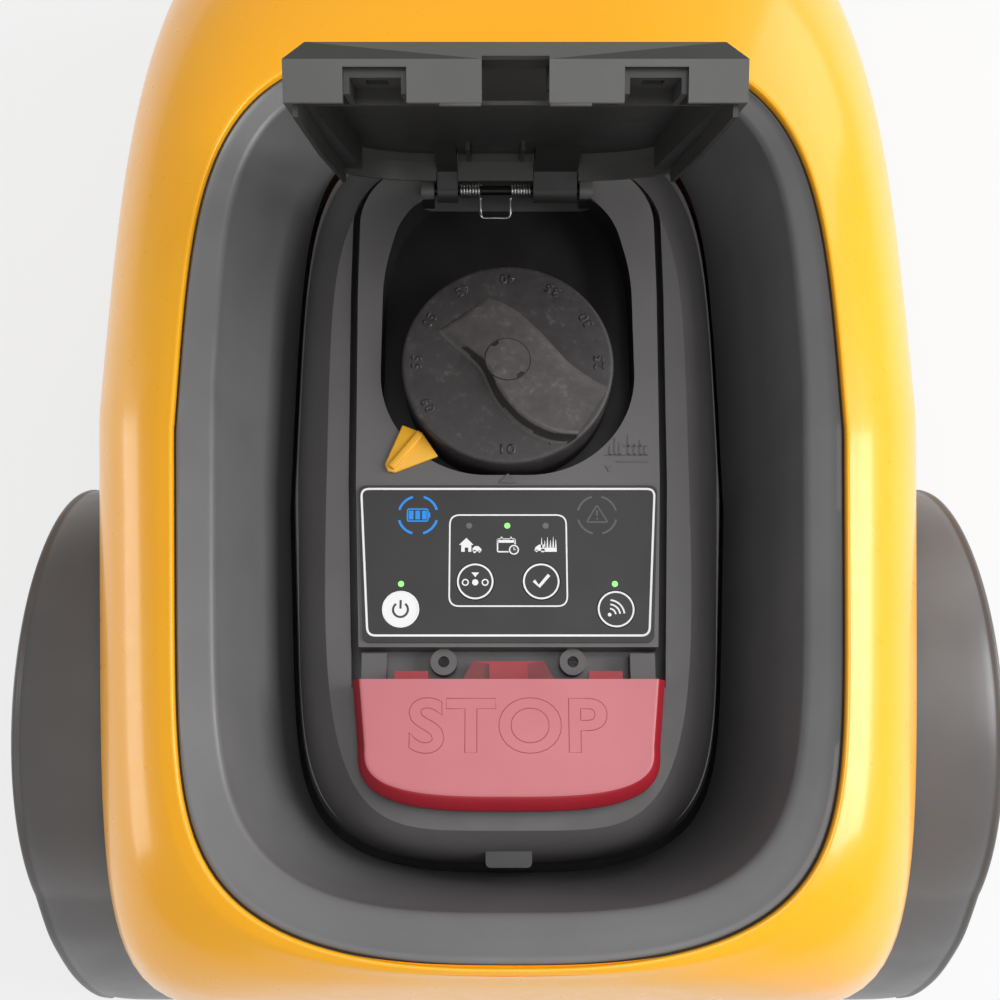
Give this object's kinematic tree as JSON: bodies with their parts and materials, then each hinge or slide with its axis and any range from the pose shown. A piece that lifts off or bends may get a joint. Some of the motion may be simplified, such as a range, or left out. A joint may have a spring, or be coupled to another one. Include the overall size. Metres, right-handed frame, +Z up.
{
  "type": "robotic lawn mower",
  "caption": "Robotic lawn mower with a floating cover, a flip-up lid over a height knob and keypad, a STOP flap, and drive and caster wheels.",
  "frame": {"origin": "on the ground, under the middle of the overall box", "axes": "+Z up, +Y towards the nose, +X to the machine's right"},
  "size_m": [0.404, 0.6002, 0.4211],
  "materials": {
    "cover_yellow": "glossy moulded, light orange peel",
    "trim_grey": "satin moulded grey",
    "fender_grey": "satin moulded grey",
    "frame_black": "fine textured",
    "mount_rubber": "matte",
    "chassis_black": "fine spark-eroded texture",
    "screw_steel": "zinc plated",
    "battery_case": "satin",
    "board_green": "solder mask",
    "contact_brass": "polished",
    "tyre": "matte rubber",
    "rim_grey": "satin",
    "shaft_steel": "ground",
    "motor_can": "satin",
    "bush_plastic": "acetal",
    "caster_tread": "matte",
    "disc_grey": "satin",
    "blade_steel": "brushed",
    "console_grey": "satin moulded dark grey",
    "panel_grey": "satin moulded dark grey",
    "keypad_film": "satin printed film",
    "lamp_lens": "clear tinted",
    "key_white": "satin",
    "key_film": "satin printed film",
    "pointer_yellow": "satin",
    "switch_black": "satin",
    "stop_red": "satin gloss",
    "latch_red": "satin gloss",
    "spring_steel": "drawn wire",
    "lid_grey": "satin moulded grey",
    "knob_grey": "handled satin"
  },
  "bodies": {
    "chassis": {"chassis_tub": "chassis_black", "chassis_deck": "chassis_black", "chassis_screws": "screw_steel", "battery_cover": "chassis_black", "battery_pack": "battery_case", "main_board": "board_green", "charge_contacts": "contact_brass", "fender_left": "fender_grey", "fender_right": "fender_grey", "float_mounts": "mount_rubber", "drive_motor_left": "motor_can", "drive_motor_right": "motor_can", "wheel_bearings": "bush_plastic", "deck_guides": "shaft_steel", "console_base": "console_grey", "rear_tab": "trim_grey", "console_panel": "panel_grey", "stop_pivot": "shaft_steel", "hinge_pin": "shaft_steel", "keypad_overlay": "keypad_film", "indicator_lenses": "lamp_lens", "keypad_board": "board_green", "height_pointer": "pointer_yellow", "console_screws": "screw_steel", "stop_switch": "switch_black", "lid_spring": "spring_steel", "stop_springs": "spring_steel"},
    "float_frame": {"float_frame": "frame_black"},
    "cover": {"outer_cover": "cover_yellow", "trough_liner": "trim_grey"},
    "lid": {"lid_shell": "lid_grey", "lid_inner": "lid_grey"},
    "stop_button": {"stop_flap": "stop_red", "stop_latch": "latch_red"},
    "knob": {"height_knob": "knob_grey", "knob_cap": "knob_grey", "knob_shaft": "bush_plastic"},
    "deck": {"deck_carrier": "frame_black", "blade_motor": "motor_can"},
    "disc": {"cutting_disc": "disc_grey", "disc_screws": "screw_steel"},
    "blade_1": {"blade_1": "blade_steel"},
    "blade_2": {"blade_2": "blade_steel"},
    "blade_3": {"blade_3": "blade_steel"},
    "wheel_left": {"tyre_left": "tyre", "rim_left": "rim_grey", "axle_left": "shaft_steel"},
    "wheel_right": {"tyre_right": "tyre", "rim_right": "rim_grey", "axle_right": "shaft_steel"},
    "caster_left": {"caster_fork_left": "chassis_black", "caster_pin_left": "shaft_steel"},
    "caster_right": {"caster_fork_right": "chassis_black", "caster_pin_right": "shaft_steel"},
    "caster_wheel_left": {"caster_wheel_left": "caster_tread"},
    "caster_wheel_right": {"caster_wheel_right": "caster_tread"},
    "key_power": {"key_power": "key_white"},
    "key_select": {"key_select": "key_film"},
    "key_confirm": {"key_confirm": "key_film"},
    "key_wireless": {"key_wireless": "key_film"}
  },
  "joints": [
    {"name": "cover_bump", "type": "slide", "parent": "chassis", "child": "float_frame", "axis": [0, 1, 0], "range_m": [-0.0025, 0.0025], "stiffness_N_per_m": 3000},
    {"name": "cover_lift", "type": "slide", "parent": "float_frame", "child": "cover", "axis": [0, 0, 1], "range_m": [0, 0.008]},
    {"name": "lid_hinge", "type": "hinge", "parent": "chassis", "child": "lid", "pos_m": [0, 0.049, 0.222], "axis": [1, 0, 0], "range_deg": [0, 66], "stiffness_Nm_per_rad": 0.1, "springref_deg": -85.94, "deforming": ["lid_spring"]},
    {"name": "stop_press", "type": "hinge", "parent": "chassis", "child": "stop_button", "pos_m": [0, -0.2065, 0.226], "axis": [1, 0, 0], "range_deg": [-3.5, 0], "stiffness_Nm_per_rad": 2, "springref_deg": 2.86, "deforming": ["stop_springs"]},
    {"name": "height_turn", "type": "hinge", "parent": "chassis", "child": "knob", "pos_m": [0, -0.035, 0.22], "axis": [0, 0, 1], "range_deg": [-60, 240]},
    {"name": "deck_height", "type": "slide", "parent": "chassis", "child": "deck", "axis": [0, 0, 1], "range_m": [-0.0081, 0.0324]},
    {"name": "disc_spin", "type": "hinge", "parent": "deck", "child": "disc", "pos_m": [0, -0.035, 0.045], "axis": [0, 0, 1], "continuous": true},
    {"name": "blade_1_swing", "type": "hinge", "parent": "disc", "child": "blade_1", "pos_m": [0, 0.027, 0.0383], "axis": [0, 0, 1], "continuous": true},
    {"name": "blade_2_swing", "type": "hinge", "parent": "disc", "child": "blade_2", "pos_m": [-0.05369, -0.066, 0.0383], "axis": [0, 0, 1], "continuous": true},
    {"name": "blade_3_swing", "type": "hinge", "parent": "disc", "child": "blade_3", "pos_m": [0.05369, -0.066, 0.0383], "axis": [0, 0, 1], "continuous": true},
    {"name": "wheel_left_spin", "type": "hinge", "parent": "chassis", "child": "wheel_left", "pos_m": [-0.175, -0.157, 0.092], "axis": [1, 0, 0], "continuous": true},
    {"name": "caster_left_swivel", "type": "hinge", "parent": "chassis", "child": "caster_left", "pos_m": [-0.092, 0.205, 0.1], "axis": [0, 0, 1], "continuous": true},
    {"name": "caster_wheel_left_spin", "type": "hinge", "parent": "caster_left", "child": "caster_wheel_left", "pos_m": [-0.092, 0.185, 0.036], "axis": [1, 0, 0], "continuous": true},
    {"name": "wheel_right_spin", "type": "hinge", "parent": "chassis", "child": "wheel_right", "pos_m": [0.175, -0.157, 0.092], "axis": [1, 0, 0], "continuous": true},
    {"name": "caster_right_swivel", "type": "hinge", "parent": "chassis", "child": "caster_right", "pos_m": [0.092, 0.205, 0.1], "axis": [0, 0, 1], "continuous": true},
    {"name": "caster_wheel_right_spin", "type": "hinge", "parent": "caster_right", "child": "caster_wheel_right", "pos_m": [0.092, 0.185, 0.036], "axis": [1, 0, 0], "continuous": true},
    {"name": "key_power_press", "type": "slide", "parent": "chassis", "child": "key_power", "axis": [0, 0, 1], "range_m": [-0.0006, 0], "stiffness_N_per_m": 1500, "springref_m": 0.0008},
    {"name": "key_select_press", "type": "slide", "parent": "chassis", "child": "key_select", "axis": [0, 0, 1], "range_m": [-0.0006, 0], "stiffness_N_per_m": 1500, "springref_m": 0.0008},
    {"name": "key_confirm_press", "type": "slide", "parent": "chassis", "child": "key_confirm", "axis": [0, 0, 1], "range_m": [-0.0006, 0], "stiffness_N_per_m": 1500, "springref_m": 0.0008},
    {"name": "key_wireless_press", "type": "slide", "parent": "chassis", "child": "key_wireless", "axis": [0, 0, 1], "range_m": [-0.0006, 0], "stiffness_N_per_m": 1500, "springref_m": 0.0008}
  ],
  "couplings": [
    {"joint": "height_turn", "follows": "deck_height", "rad_per_m": 129.2}
  ]
}
